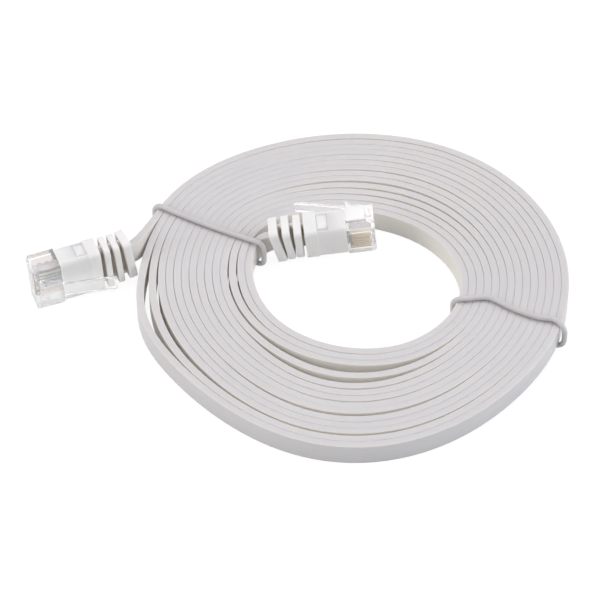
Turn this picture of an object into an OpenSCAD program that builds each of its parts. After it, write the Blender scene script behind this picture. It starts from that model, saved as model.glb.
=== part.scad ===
// Flat network patch cable, wound on edge into a ring and held by two wire ties.
// Each end has an eight-contact modular plug with a sprung latch and a ribbed boot.

/* [Cable] */
// Width of the flat cable, which stands upright in the coil
cable_w = 5.4; // [4.8:0.1:6.2]
// Thickness of the flat cable
cable_t = 1.35; // [1:0.05:1.35]
// Width of the bevel along the cable's upper edges
cable_bevel = 0.25; // [0.1:0.05:0.4]

/* [Coil] */
// Number of times the cable goes round
coil_turns = 14; // [6:1:18]
// Mean radius of the hole, measured to the first turn's centre line
coil_inner_r = 23.9; // [23.4:0.1:32]
// Least distance from one turn to the next
turn_pitch = 1.8; // [1.8:0.05:2.6]
// Extra width of the hole where the inner plug pushes the turns out
plug_bulge = 2.9; // [2.4:0.1:4]

/* [Plug] */
// Width of the plug's nose
plug_w = 11.68; // [11.4:0.02:12]
// Thickness of the plug's nose, without the latch
plug_h = 6.6; // [6.4:0.1:7]
// Length of the clear nose in front of the boot
nose_len = 6.9; // [6.6:0.1:9]
// Length of the moulded plug body
plug_len = 16.2; // [15.8:0.1:19]
// How much slimmer the body is behind the nose, all round
body_step = 0.35; // [0.1:0.05:0.4]
// Width of the front edge bevels on the nose
nose_bevel = 0.6; // [0.3:0.1:0.9]

/* [Contacts] */
// Number of contacts
contact_n = 8; // [2:2:8]
// Distance from one contact to the next
contact_pitch = 1.02; // [0.98:0.01:1.06]
// Thickness of a contact blade
contact_t = 0.35; // [0.25:0.05:0.4]
// Length of a contact blade
contact_len = 5.4; // [4.6:0.1:5.8]
// Gap between a blade and the walls of its slot
contact_gap = 0.06; // [0.04:0.01:0.1]
// How far a crimped blade lies below the face of the plug
contact_sink = 0.45; // [0.3:0.05:0.7]

/* [Conductors] */
// Diameter of an insulated conductor
wire_d = 0.56; // [0.4:0.02:0.56]
// Distance from one conductor to the next inside the cable
wire_pitch = 0.62; // [0.6:0.01:0.64]
// Gap between a conductor or the cable and the plug body round it
wire_gap = 0.05; // [0.03:0.01:0.1]

/* [Latch] */
// Reach of the latch from the front of the nose to its free end
latch_len = 19.5; // [17:0.5:20]
// Width of the finger end of the latch
latch_tail_w = 3.6; // [2.8:0.1:4]
// Radius of the corners of the latch's free end
latch_tip_r = 0.9; // [0.4:0.1:1.3]
// Width of the locking shoulders
latch_catch_w = 6; // [5.6:0.1:6.4]
// Length of the locking shoulders
latch_catch_len = 4; // [3:0.1:5]
// Thickness of the latch
latch_t = 0.8; // [0.6:0.1:1]
// Angle at which the latch stands off the plug
latch_rise = 13; // [11.5:0.5:16]
// Radius of the round root that the latch bends about
latch_root_r = 0.55; // [0.5:0.05:0.7]
// Gap round the root
root_gap = 0.08; // [0.06:0.01:0.12]

/* [Boot] */
// Wall of the boot's collar over the plug body
boot_wall = 0.35; // [0.3:0.05:0.8]
// Thickness of the boot's wall behind the plug body
boot_end = 0.8; // [0.5:0.1:1.5]
// Gap between the collar and the plug body
boot_gap = 0.05; // [0.03:0.01:0.1]
// Number of grooves round the boot's tail
groove_n = 3; // [2:1:4]
// Width of a groove
groove_w = 0.85; // [0.8:0.05:1.4]
// Thickness of a rib between two grooves
rib_t = 1.65; // [1:0.05:2]
// Length of the rim behind the last groove
rim_len = 2.1; // [1.5:0.05:4]
// How much each rib falls short of the one before it, all round
rib_taper = 0.05; // [0:0.05:0.2]
// Wall of the boot's core round the cable
core_wall = 0.9; // [0.7:0.05:1.6]
// Thickness of the two webs that join the ribs
web_t = 1.1; // [0.8:0.1:3]
// Radius of the boot's long edges
boot_round = 1.2; // [0.6:0.1:1.6]
// Length of the thicker band in front of the first groove
band_len = 3; // [2:0.1:4]
// How far the band stands proud of the collar
band_h = 0.15; // [0.05:0.05:0.4]
// Length of the window on each narrow side that the plug body's lug snaps into
window_len = 2.7; // [1.5:0.1:3.5]

/* [Ties] */
// Diameter of a coated wire tie
tie_d = 1.3; // [1:0.05:1.5]
// Diameter of the steel wire inside it
tie_core_d = 0.5; // [0.3:0.05:0.6]
// Space that a tie leaves over and under the turns
tie_gap = 0.2; // [0.05:0.05:0.3]
// Radius of a tie's tight bends
tie_bend = 1.2; // [1.1:0.1:2]
// Radius of the first tie's looser bends, inside the ring
tie_loop = 1.8; // [1.4:0.1:2.2]
// How far the second tie stands off the turns inside the ring
tie_ease = 0.8; // [0.4:0.1:2]
// Distance between the two cut ends under the coil
tie_end_gap = 2; // [1:0.5:4]

/* [Hidden] */
$fn = 40;
LETTERS = ["a", "b"];
function numbered(name, letter) = [for (i = [1:contact_n]) str(name, "_", letter, "_", i)];

// ---- Coil ----
// The coil lies round the coil frame's own origin. A turn is a direction that keeps
// counting past 360 degrees, and its radius follows from where it has got to.
ring_n = 24;
ring_step = 360 / ring_n;
coil_from = 167;
coil_to = coil_from + 360 * coil_turns - ring_step;

// A smooth bump of height 1 at angle 0 that falls to 0 at 90 degrees.
function bump(angle, power) = pow(max(0, cos(angle)), power);
function ease(x) = let (c = min(max(x, 0), 1)) c * c * (3 - 2 * c);

// Outline of the hole: nearly round, drawn in at the corners, pushed out by the inner plug.
function hole_r(a) = coil_inner_r + 1.1 * cos(a) + 1.4 * sin(a) + 0.8 * cos(2 * a)
    - 0.5 * sin(2 * a) + plug_bulge * bump(a - 135, 4);

// Between the ties every turn lies a little looser.
function pitch_at(a) = turn_pitch + 0.2 * bump(a - 52, 3) + 0.07 * bump(a - 268, 3);
// Loose places: direction, turn after which it opens, width, how sharply it closes.
slack = [
    [268, 1, 3.0, 4], [262, 2, 1.1, 6], [272, 3, 0.3, 4], [268, 7, 0.6, 4], [268, 10, 0.45, 4],
    [195, 12, 0.7, 4], [195, 11, 0.5, 4], [195, 9, 0.3, 4], [195, 7, 0.3, 4],
    [195, 2, 0.4, 4], [195, 1, 0.35, 4], [195, 0, 0.3, 4],
    [100, 12, 0.8, 4], [75, 5, 0.8, 4], [40, 9, 1.0, 4]];
function opened(a, turn) = [for (s = slack)
    s[2] * bump(a - s[0], s[3])
        * ease(turn - s[1] - ((s[0] - coil_from + 360) % 360) / 360)];
function sum(v, i = 0) = i < len(v) ? v[i] + sum(v, i + 1) : 0;
function coil_r(a) = let (turn = (a - coil_from) / 360)
    hole_r(a) + pitch_at(a) * turn + sum(opened(a, turn));

// The turns climb over the lower run of each tie.
tie_a_dir = 152;
tie_b_dir = 347;
climb = tie_d + tie_gap + 0.15;
function coil_z(a) = climb * max(bump(a - tie_a_dir, 8), bump(a - tie_b_dir, 8));
function coil_at(a) = [coil_r(a) * cos(a), coil_r(a) * sin(a), coil_z(a)];

// Section of the upright cable: flat foot, straight faces, bevelled top edges.
function foot_section(t, w, b) = [
    [-t / 2, 0], [t / 2, 0], [t / 2, w - b], [t / 2 - b, w], [b - t / 2, w], [-t / 2, w - b]];
// Section of the free lengths, bevelled on all four edges and centred.
function free_section(t, w, b) = [
    [b - t / 2, -w / 2], [t / 2 - b, -w / 2], [t / 2, b - w / 2], [t / 2, w / 2 - b],
    [t / 2 - b, w / 2], [b - t / 2, w / 2], [-t / 2, w / 2 - b], [-t / 2, b - w / 2]];

function unit(v) = v / norm(v);
// Rings along a route; each has its centre, its outward direction and its upward one.
function ring(section, at, out, up) = [for (p = section) at + p[0] * out + p[1] * up];

// One closed tube through a list of rings, with fanned caps; all faces are triangles.
module tube(rings) {
    k = len(rings[0]);
    last = len(rings) - 1;
    sides = [for (i = [0:last - 1]) for (j = [0:k - 1]) let (n = (j + 1) % k)
        each [[i * k + j, i * k + n, (i + 1) * k + n],
              [i * k + j, (i + 1) * k + n, (i + 1) * k + j]]];
    caps = [for (j = [1:k - 2]) each [[0, j + 1, j],
        [last * k, last * k + j, last * k + j + 1]]];
    polyhedron([for (r = rings) each r], concat(sides, caps));
}

coil_angles = [coil_from:ring_step:coil_to];
function coil_out(a) = let (d = coil_at(a + 1) - coil_at(a - 1)) unit([d[1], -d[0], 0]);
coil_rings = [for (a = coil_angles)
    ring(foot_section(cable_t, cable_w, cable_bevel), coil_at(a), coil_out(a), [0, 0, 1])];

// ---- Frames ----
function shift(v) = [[1, 0, 0, v[0]], [0, 1, 0, v[1]], [0, 0, 1, v[2]], [0, 0, 0, 1]];
function turn_x(a) = [[1, 0, 0, 0], [0, cos(a), -sin(a), 0], [0, sin(a), cos(a), 0],
    [0, 0, 0, 1]];
function turn_y(a) = [[cos(a), 0, sin(a), 0], [0, 1, 0, 0], [-sin(a), 0, cos(a), 0],
    [0, 0, 0, 1]];
function turn_z(a) = [[cos(a), -sin(a), 0, 0], [sin(a), cos(a), 0, 0], [0, 0, 1, 0],
    [0, 0, 0, 1]];
function point(m, p) = let (q = m * [p[0], p[1], p[2], 1]) [q[0], q[1], q[2]];
function axis(m, i) = [m[0][i], m[1][i], m[2][i]];

// ---- Plug and boot sizes ----
// A plug's own frame: X runs from the nose to the cable, Y across the contacts and Z from
// the contact side to the latch side; Y and Z are measured from the plug's centre line.
body_w = plug_w - 2 * body_step;
body_h = plug_h - 2 * body_step;
collar_w = body_w + 2 * (boot_gap + boot_wall);
collar_h = body_h + 2 * (boot_gap + boot_wall);
core_w = cable_w + 2 * core_wall;
core_h = cable_t + 2 * core_wall;
tail_step = groove_w + rib_t;
band_x = plug_len + boot_end - band_len;
window_x = band_x - window_len;

// Each plug: where the cable enters its boot in plan, the direction from nose to cable, how
// far the tail is raised, how far it leans, and the bend, rise and twist of the boot's tail
// from one groove to the next.
pose = [
    [-53.6, 8.81, 20.5, 2.7, -3, 2, 2.2, 0],
    [-19.09, 14.52, 183.5, -5.8, -18, 0, -4, 4]];
function upright(p) = turn_z(p[2]) * turn_y(-p[3]) * turn_x(90 + p[4]);
// The lowest corner of the nose, the band or a rib stands on the ground.
function low_corner(m) = min([for (x = [0, nose_len, band_x, band_x + band_len])
    for (y = [-1, 1]) for (z = [-1, 1])
    point(m, [x, y * (x < band_x ? plug_w : collar_w + 2 * band_h) / 2,
        z * (x < band_x ? plug_h : collar_h + 2 * band_h) / 2])[2]]);
function rib_shrink(k) = 2 * rib_taper * k;
// The bend, rise and twist from one groove to the next, and the plug's centre line where
// each groove starts and where the tail ends.
function tail_turn(p) = turn_x(p[7]) * turn_y(p[5]) * turn_z(p[6]);
function groove_frame(p, k) = k == 0 ? shift([plug_len + boot_end, 0, 0])
    : groove_frame(p, k - 1) * shift([tail_step, 0, 0]) * tail_turn(p);
function tail_end(p) = groove_frame(p, groove_n - 1) * shift([groove_w + rim_len, 0, 0]);
function tail_low(p) = min([for (k = [1:groove_n]) for (y = [-1, 1]) for (z = [-1, 1])
    for (x = [groove_w, groove_w + (k == groove_n ? rim_len : rib_t)])
    point(upright(p) * groove_frame(p, k - 1), [x, y * (collar_w - rib_shrink(k)) / 2,
        z * (collar_h - rib_shrink(k)) / 2])[2]]);
function plug_frame(p) = let (m = upright(p), end = point(m * tail_end(p), [0, 0, 0]))
    shift([p[0] - end[0], p[1] - end[1], -min(low_corner(m), tail_low(p))]) * m;

// ---- Object frame ----
// The ground under the middle of the whole object's box.
coil_points = [for (a = coil_angles) coil_at(a) + coil_out(a) * cable_t / 2];
nose_corners = [for (y = [-1, 1]) for (z = [-1, 1])
    point(plug_frame(pose[0]), [0, y * plug_w / 2, z * plug_h / 2])];
function middle(i) = let (v = [for (p = concat(coil_points, nose_corners)) p[i]])
    (min(v) + max(v)) / 2;
to_object = shift([-middle(0), -middle(1), 0]);

// ---- Cable ----
module cable_coil() {
    color("whitesmoke") multmatrix(to_object) tube(coil_rings);
}

// The free lengths leave the coil at its ends and straighten into the boots. The inner one
// dips where it passes through the first tie.
lead_steps = 8;
pull = [[10, 2.5], [10, 1.2]];
lead_sag = [0, 0.27];
function lead_end(s) = plug_frame(pose[s]) * tail_end(pose[s]);
function lead_at(s, t) = let (
    a = s == 0 ? coil_to : coil_from,
    m = lead_end(s),
    up = [0, 0, cable_w / 2],
    along = coil_at(a + 1) - coil_at(a - 1),
    tangent = (s == 0 ? 1 : -1) * unit([along[0], along[1], 0]),
    p0 = coil_at(a) + up,
    p3 = point(m, [0, 0, 0]),
    p1 = p0 + tangent * pull[s][0],
    p2 = p3 + axis(m, 0) * pull[s][1])
    pow(1 - t, 3) * p0 + 3 * t * pow(1 - t, 2) * p1 + 3 * t * t * (1 - t) * p2 + pow(t, 3) * p3
        - [0, 0, lead_sag[s] * 16 * pow(t * (1 - t), 2)];
function lead_ring(s, t) = let (
    m = lead_end(s),
    e = 0.01,
    along = unit(lead_at(s, t + e) - lead_at(s, t - e)),
    lean = [0, 0, 1] * (1 - t) + axis(m, 1) * t,
    up = unit(lean - (lean * along) * along),
    out = cross(along, up))
    ring(free_section(cable_t, cable_w, cable_bevel), lead_at(s, t), out, up);
module cable_lead(s) {
    color("whitesmoke") multmatrix(to_object)
        tube([for (i = [0:lead_steps]) lead_ring(s, i / lead_steps)]);
}

// ---- Plug ----
module in_plug(s) {
    multmatrix(to_object * plug_frame(pose[s])) children();
}

// A box centred on the plug's centre line, from x to x + length.
module block(x, length, width, height) {
    translate([x, -width / 2, -height / 2]) cube([length, width, height]);
}
// The same with its long edges rounded.
module round_block(x, length, width, height, radius) {
    translate([x, 0, 0]) rotate([90, 0, 90]) linear_extrude(length) union() {
        square([width - 2 * radius, height], center = true);
        square([width, height - 2 * radius], center = true);
        for (y = [-1, 1]) for (z = [-1, 1])
            translate([y * (width / 2 - radius), z * (height / 2 - radius)]) circle(radius);
    }
}

wire_x = 1.9;
fan_x = nose_len + 0.6;
jacket_x = fan_x + 4.4;
slot_x = 0.8;
slot_w = contact_t + 2 * contact_gap;
function contact_y(i) = (i - (contact_n + 1) / 2) * contact_pitch;
function wire_y(i) = (i - (contact_n + 1) / 2) * wire_pitch;
chamber_w = (contact_n - 1) * contact_pitch + wire_d + 2 * wire_gap;
chamber_h = wire_d + 2 * wire_gap;
rear_w = chamber_w + 0.6;
rear_h = 3;
crimp_x = jacket_x + 1;
crimp_len = 1.6;

// The latch's root turns in a round seat on top of the nose.
root_x = nose_bevel + latch_root_r + root_gap + 0.3;
root_z = plug_h / 2 + latch_root_r + 0.2;
seat_len = 2 * (latch_root_r + root_gap) + 0.5;
seat_h = 0.4;
lug_gap = 0.2;
lug_h = 3.6;

module nose_outline() {
    polygon([
        [nose_bevel, -plug_h / 2], [nose_len, -plug_h / 2], [nose_len, plug_h / 2],
        [nose_bevel / 2, plug_h / 2], [0, plug_h / 2 - nose_bevel / 2],
        [0, nose_bevel - plug_h / 2]]);
}

module plug_housing(s) {
    color("gainsboro") in_plug(s) difference() {
        union() {
            rotate([90, 0, 0]) linear_extrude(plug_w, center = true) nose_outline();
            block(nose_len, plug_len - nose_len, body_w, body_h);
            translate([root_x - seat_len / 2, -latch_catch_w / 2, plug_h / 2 - 0.5])
                cube([seat_len, latch_catch_w, 0.5 + seat_h]);
            // Lugs that the boot's windows snap over.
            block(window_x + lug_gap, window_len - 2 * lug_gap, collar_w - 0.1, lug_h);
        }
        // Slots that the contacts are pressed into.
        for (i = [1:contact_n])
            translate([slot_x, contact_y(i) - slot_w / 2, -plug_h])
                cube([contact_len + 2 * contact_gap, slot_w, plug_h]);
        // Passage for the eight conductors, then the cable's chamber.
        block(wire_x - wire_gap, fan_x - wire_x + 1, chamber_w, chamber_h);
        block(fan_x - wire_gap, crimp_x - fan_x + wire_gap, rear_w, rear_h);
        block(crimp_x - 1, crimp_len + 2, cable_w + 2 * wire_gap, cable_t + 2 * wire_gap);
        block(crimp_x + crimp_len, plug_len, rear_w, rear_h);
        // Round seat of the latch.
        translate([root_x, 0, root_z]) rotate([90, 0, 0])
            cylinder(r = latch_root_r + root_gap, h = plug_w + 1, center = true);
    }
}

// The blade's lower edge meets the socket's springs; its teeth bite the conductor.
module contact(s, i) {
    top = -wire_d / 2 - 0.02;
    foot = contact_sink - plug_h / 2;
    shoulder = top - 0.7;
    tooth = contact_len / 6;
    color("goldenrod") in_plug(s) translate([slot_x + contact_gap, contact_y(i), 0])
        rotate([90, 0, 0]) linear_extrude(contact_t, center = true) polygon(concat(
            [[0, shoulder], [0.3, foot + 0.25], [0.7, foot], [contact_len - 0.5, foot],
             [contact_len, foot + 0.6], [contact_len, shoulder]],
            [for (k = [2:-1:0]) each [[(2 * k + 1.7) * tooth, shoulder],
                [(2 * k + 1) * tooth, top], [(2 * k + 0.3) * tooth, shoulder]]]));
}

// One conductor: straight under its blade, then drawn in to its place in the cable.
wire_draw = 0.08;
module conductor(s, i) {
    colours = ["papayawhip", "orange", "honeydew", "royalblue",
               "lightblue", "seagreen", "linen", "sienna"];
    dy = wire_y(i) - contact_y(i);
    dx = jacket_x - fan_x;
    color(colours[(i - 1) % 8]) in_plug(s) translate([fan_x, contact_y(i), 0]) {
        translate([wire_x - fan_x, 0, 0]) rotate([0, 90, 0])
            cylinder(d = wire_d, h = fan_x - wire_x);
        rotate([0, 90, atan2(dy, dx)]) translate([0, 0, -0.03])
            cylinder(d = wire_d - wire_draw, h = norm([dx, dy]) - wire_d);
    }
}

// The end of the cable: gripped by the crimp bar, then on through the boot.
module cable_run(x, length, spare) {
    translate([x, 0, 0]) rotate([90, 0, 90]) linear_extrude(length)
        polygon([for (q = free_section(cable_t + 2 * spare, cable_w + 2 * spare, cable_bevel))
            [q[1], q[0]]]);
}
module tail_run(p, k, spare) {
    last = k == groove_n;
    cable_run(-0.25, (last ? groove_w + rim_len : tail_step) + 0.25 + (last ? spare : 0.25), spare);
    if (!last) translate([tail_step, 0, 0]) multmatrix(tail_turn(p)) tail_run(p, k + 1, spare);
}
module cable_end(s) {
    color("whitesmoke") in_plug(s) {
        cable_run(jacket_x, plug_len + boot_end - jacket_x, 0);
        translate([plug_len + boot_end, 0, 0]) tail_run(pose[s], 1, 0);
    }
}

// ---- Latch ----
module latch(s) {
    reach = latch_len - root_x;
    catch_x = 1.3;
    color("gainsboro") in_plug(s) translate([root_x, 0, root_z]) {
        rotate([90, 0, 0]) cylinder(r = latch_root_r, h = latch_catch_w, center = true);
        rotate([0, -latch_rise, 0]) {
            // Finger, with the rounded corners of its free end.
            translate([0, -latch_tail_w / 2, latch_root_r - latch_t])
                cube([reach - latch_tip_r, latch_tail_w, latch_t]);
            translate([reach - latch_tip_r, 0, latch_root_r - latch_t]) linear_extrude(latch_t) {
                translate([-0.5, latch_tip_r - latch_tail_w / 2])
                    square([latch_tip_r + 0.5, latch_tail_w - 2 * latch_tip_r]);
                for (y = [-1, 1]) translate([0, y * (latch_tail_w / 2 - latch_tip_r)])
                    circle(latch_tip_r);
            }
            // Locking shoulders.
            translate([catch_x, -latch_catch_w / 2, latch_root_r - latch_t])
                cube([latch_catch_len, latch_catch_w, latch_t]);
            translate([catch_x + latch_catch_len - 1.2, -latch_catch_w / 2, latch_root_r - 0.1])
                cube([1.2, latch_catch_w, 0.7]);
        }
    }
}

// ---- Boot ----
web_shift = 0.3;
// From one groove on: the core, the two webs and the next rib, then the rest of the tail.
module boot_tail(p, k) {
    last = k == groove_n;
    w = collar_w - rib_shrink(k);
    h = collar_h - rib_shrink(k);
    round_block(-0.3, groove_w + 0.6, core_w, core_h, core_h / 2 - 0.05);
    translate([0, 0, web_shift]) block(-0.3, groove_w + 0.6, w - 0.8, web_t);
    round_block(groove_w, last ? rim_len : rib_t, w, h, boot_round);
    if (!last) translate([tail_step, 0, 0]) multmatrix(tail_turn(p)) boot_tail(p, k + 1);
}

module boot(s) {
    color("white") in_plug(s) difference() {
        union() {
            round_block(nose_len + boot_gap, plug_len + boot_end - nose_len - boot_gap,
                collar_w, collar_h, boot_round);
            round_block(band_x, band_len, collar_w + 2 * band_h, collar_h + 2 * band_h,
                boot_round);
            translate([plug_len + boot_end, 0, 0]) boot_tail(pose[s], 1);
        }
        // Windows for the lugs, open to the contact side.
        for (y = [-1, 1]) translate([window_x, y * collar_w / 2 - 1, -collar_h])
            cube([window_len, 2, collar_h + lug_h / 2 + lug_gap]);
        block(nose_len - 1, plug_len - nose_len + 1 + boot_gap, body_w + 2 * boot_gap,
            body_h + 2 * boot_gap);
        cable_run(plug_len, boot_end + 0.3, wire_gap);
        translate([plug_len + boot_end, 0, 0]) tail_run(pose[s], 1, wire_gap);
    }
}

// ---- Ties ----
// A tie's run lies along a line given by its direction and its distance from the centre.
tie_line = [[tie_a_dir, 0], [333, 7.8]];
tie_low = tie_d / 2;
tie_high = climb + cable_w + tie_gap + tie_d / 2;
function along_tie(r, s) = round(sqrt(r * r - tie_line[s][1] * tie_line[s][1]) * 10) / 10;
// Where the run meets the inside and the outside of the turns.
tie_in = [
    along_tie(coil_r(tie_a_dir + 360) - turn_pitch - cable_t / 2 - tie_gap, 0),
    along_tie(coil_r(351 + 0) - cable_t / 2 - tie_gap, 1)];
tie_out = [
    along_tie(coil_r(tie_a_dir + 360 * coil_turns) + cable_t / 2 + tie_gap, 0),
    along_tie(coil_r(342 + 360 * (coil_turns - 1)) + cable_t / 2 + tie_gap, 1)];

module tie_run(from, to, height, d) {
    translate([from, 0, height]) rotate([0, 90, 0]) cylinder(d = d, h = to - from);
}
// A bend down, an upright run and a bend back; side is 1 outside the ring and -1 inside it.
module tie_turn(x, side, bend, d) {
    for (q = [[tie_high - bend, side > 0 ? 0 : 90], [tie_low + bend, side > 0 ? -90 : 180]])
        translate([x - side * bend, 0, q[0]]) rotate([90, 0, 0]) rotate([0, 0, q[1]])
            rotate_extrude(angle = 90) translate([bend, 0]) circle(d = d);
    translate([x, 0, tie_low + bend]) cylinder(d = d, h = tie_high - tie_low - 2 * bend);
}
module tie_path(s, d, cut) {
    inner = s == 0 ? tie_loop : tie_bend;
    a = tie_in[s] - (s == 0 ? inner : tie_d / 2 + tie_ease);
    b = tie_out[s] + tie_d / 2;
    mid = (a + b) / 2;
    multmatrix(to_object) rotate([0, 0, tie_line[s][0]]) translate([0, tie_line[s][1], 0]) {
        tie_run(a + inner, b - tie_bend, tie_high, d);
        tie_turn(a, -1, inner, d);
        tie_turn(b, 1, tie_bend, d);
        tie_run(a + inner, mid - cut / 2, tie_low, d);
        tie_run(mid + cut / 2, b - tie_bend, tie_low, d);
    }
}
module tie(s) {
    color("lavender") difference() {
        tie_path(s, tie_d, tie_end_gap);
        tie_path(s, tie_core_d + 0.04, tie_end_gap - 1);
    }
}
module tie_core(s) {
    color("silver") tie_path(s, tie_core_d, tie_end_gap);
}

// Least clear distance from the coil to itself, measured from each ring to the turn outside
// it, square to the chords that the turn is built from.
function chord_gap(a) = let (
    p = coil_at(a), q = coil_at(a + 360), n = coil_out(a), m = coil_out(a + 360))
    min((q - p) * n, (q - p) * m) - cable_t;
self_gap = min([for (a = [coil_from:ring_step:coil_to - 360]) chord_gap(a)]);
coil_length = sum([for (i = [1:ring_n * coil_turns - 1])
    norm(coil_at(coil_from + i * ring_step) - coil_at(coil_from + (i - 1) * ring_step))]);
echo(least_gap_of_coil_to_itself = self_gap, coil_length = coil_length,
     centre_shift = [middle(0), middle(1)]);

cable_coil();
for (s = [0, 1]) {
    l = LETTERS[s];
    cable_lead(s);
    plug_housing(s);
    latch(s);
    boot(s);
    cable_end(s);
    tie(s);
    tie_core(s);
    for (i = [1:contact_n]) {
        contact(s, i);
        conductor(s, i);
    }
}
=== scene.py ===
import math

import bmesh
import bpy
import numpy as np
from mathutils import Matrix, Vector


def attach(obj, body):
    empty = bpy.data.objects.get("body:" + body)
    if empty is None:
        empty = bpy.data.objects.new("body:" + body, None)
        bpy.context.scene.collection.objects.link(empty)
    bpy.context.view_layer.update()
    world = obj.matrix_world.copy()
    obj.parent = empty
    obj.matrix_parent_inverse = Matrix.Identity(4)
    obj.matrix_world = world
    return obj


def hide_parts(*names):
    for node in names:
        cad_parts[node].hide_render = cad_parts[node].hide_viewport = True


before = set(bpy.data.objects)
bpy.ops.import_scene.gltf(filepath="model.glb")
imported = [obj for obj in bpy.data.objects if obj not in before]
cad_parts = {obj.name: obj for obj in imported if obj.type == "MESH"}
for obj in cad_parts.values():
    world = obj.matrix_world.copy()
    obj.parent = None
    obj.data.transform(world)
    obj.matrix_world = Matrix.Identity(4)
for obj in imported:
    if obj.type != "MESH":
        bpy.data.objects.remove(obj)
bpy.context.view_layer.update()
scene = bpy.context.scene
scene.view_settings.view_transform = "Standard"

# ==== Stage =============================================================================
# A white table in a white room, lit by three broad, soft panels, and the camera that looks
# down on the table at 45 degrees. None of it belongs to the cable.
MM = 0.001
CAMERA_AWAY = 0.7
LOOKS_DOWN = math.radians(45)
TABLE_HALF = 4

aim = np.array([0.6376, -0.5129, 0.0]) * MM
lens = bpy.data.cameras.new("table_camera")
lens.sensor_width = 36
lens.lens = 174.3
lens.clip_start, lens.clip_end = 0.02, 20
camera = bpy.data.objects.new("table_camera", lens)
camera.location = aim + CAMERA_AWAY * np.array([0, -math.cos(LOOKS_DOWN), math.sin(LOOKS_DOWN)])
camera.rotation_euler = (math.pi / 2 - LOOKS_DOWN, 0, 0)
scene.collection.objects.link(camera)
scene.camera = camera


def soft_panel(name, place, size, watts, tint):
    """A square lamp of the given size in metres, turned towards the middle of the table."""
    panel = bpy.data.lights.new(name, "AREA")
    panel.shape, panel.size, panel.energy, panel.color = "SQUARE", size, watts, tint
    lamp = bpy.data.objects.new(name, panel)
    lamp.location = place
    lamp.rotation_euler = (-Vector(place)).to_track_quat("-Z", "Y").to_euler()
    scene.collection.objects.link(lamp)


soft_panel("panel_above", (-0.1, 0.45, 1.1), 0.9, 5.0, (1.0, 0.985, 1.005))
soft_panel("panel_right", (1.0, -0.12, 0.45), 0.7, 5.3, (0.97, 1.0, 1.04))
soft_panel("panel_left", (-0.95, -0.4, 0.5), 0.6, 4.35, (1.03, 1.0, 0.955))


def linked(tree, *pairs):
    """Links pairs of sockets."""
    for a, b in pairs:
        tree.links.new(a, b)


def white_where_seen(tree, target, seen, lit):
    """Camera, glossy and glass rays meet the shader `seen`, and all other rays meet `lit`."""
    path = tree.nodes.new("ShaderNodeLightPath")
    either, any_ray = tree.nodes.new("ShaderNodeMath"), tree.nodes.new("ShaderNodeMath")
    either.operation = any_ray.operation = "MAXIMUM"
    mix = tree.nodes.new("ShaderNodeMixShader")
    linked(tree,
           (path.outputs["Is Camera Ray"], either.inputs[0]),
           (path.outputs["Is Glossy Ray"], either.inputs[1]),
           (either.outputs[0], any_ray.inputs[0]),
           (path.outputs["Is Transmission Ray"], any_ray.inputs[1]),
           (any_ray.outputs[0], mix.inputs["Fac"]),
           (lit, mix.inputs[1]),
           (seen, mix.inputs[2]),
           (mix.outputs[0], target))


room = bpy.data.worlds.new("white_room")
room.use_nodes = True
room.node_tree.nodes.clear()
dim = room.node_tree.nodes.new("ShaderNodeBackground")
dim.inputs["Color"].default_value = (0.98, 0.97, 1.0, 1)
dim.inputs["Strength"].default_value = 0.44
bright = room.node_tree.nodes.new("ShaderNodeBackground")
bright.inputs["Color"].default_value = (1, 1, 1, 1)
bright.inputs["Strength"].default_value = 1.0
room_out = room.node_tree.nodes.new("ShaderNodeOutputWorld")
white_where_seen(room.node_tree, room_out.inputs["Surface"], bright.outputs[0], dim.outputs[0])
scene.world = room

table_white = bpy.data.materials.new("table_white")
table_white.use_nodes = True
table_nodes = table_white.node_tree.nodes
table_nodes.clear()
lit_white = table_nodes.new("ShaderNodeBsdfDiffuse")
lit_white.inputs["Color"].default_value = (0.8, 0.8, 0.79, 1)
thin_shade = table_nodes.new("ShaderNodeBsdfDiffuse")
thin_shade.inputs["Color"].default_value = (0.15, 0.15, 0.15, 1)
glow = table_nodes.new("ShaderNodeEmission")
glow.inputs["Strength"].default_value = 0.91
seen_white = table_nodes.new("ShaderNodeAddShader")
table_out = table_nodes.new("ShaderNodeOutputMaterial")
linked(table_white.node_tree,
       (thin_shade.outputs[0], seen_white.inputs[0]),
       (glow.outputs[0], seen_white.inputs[1]))
white_where_seen(table_white.node_tree, table_out.inputs["Surface"],
                 seen_white.outputs[0], lit_white.outputs[0])

table_mesh = bpy.data.meshes.new("table")
table_mesh.from_pydata([(x * TABLE_HALF, y * TABLE_HALF, 0)
                        for x, y in ((-1, -1), (1, -1), (1, 1), (-1, 1))], [], [(0, 1, 2, 3)])
table_mesh.materials.append(table_white)
table = bpy.data.objects.new("table", table_mesh)
scene.collection.objects.link(table)

# ==== Flat cable ========================================================================
# One flat cable, 5.4 mm wide, with eight stranded conductors side by side in a soft white
# vinyl jacket. It is wound on edge into fourteen turns, from the inner plug outwards, and
# both free lengths straighten into the boots.
CABLE_W, CABLE_T, EDGE_R = 5.4, 1.8, 0.09
# Pieces are worked out in millimetres round the ring's own centre, with directions in degrees,
# anticlockwise from the right. The frame's origin is the middle of the whole object.
RING_CENTRE = np.array([13.1876, -0.512941, 0.0])
TURNS, TURN_SHORT, FROM = 14, 15, 167
TO = FROM + 360 * TURNS - TURN_SHORT
# The turns climb over the ties' low runs, in these two directions.
CLIMB, CLIMB_AT, CLIMB_POWER = 1.65, (152, 347), 8
RING_EVERY = 3.0
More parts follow.
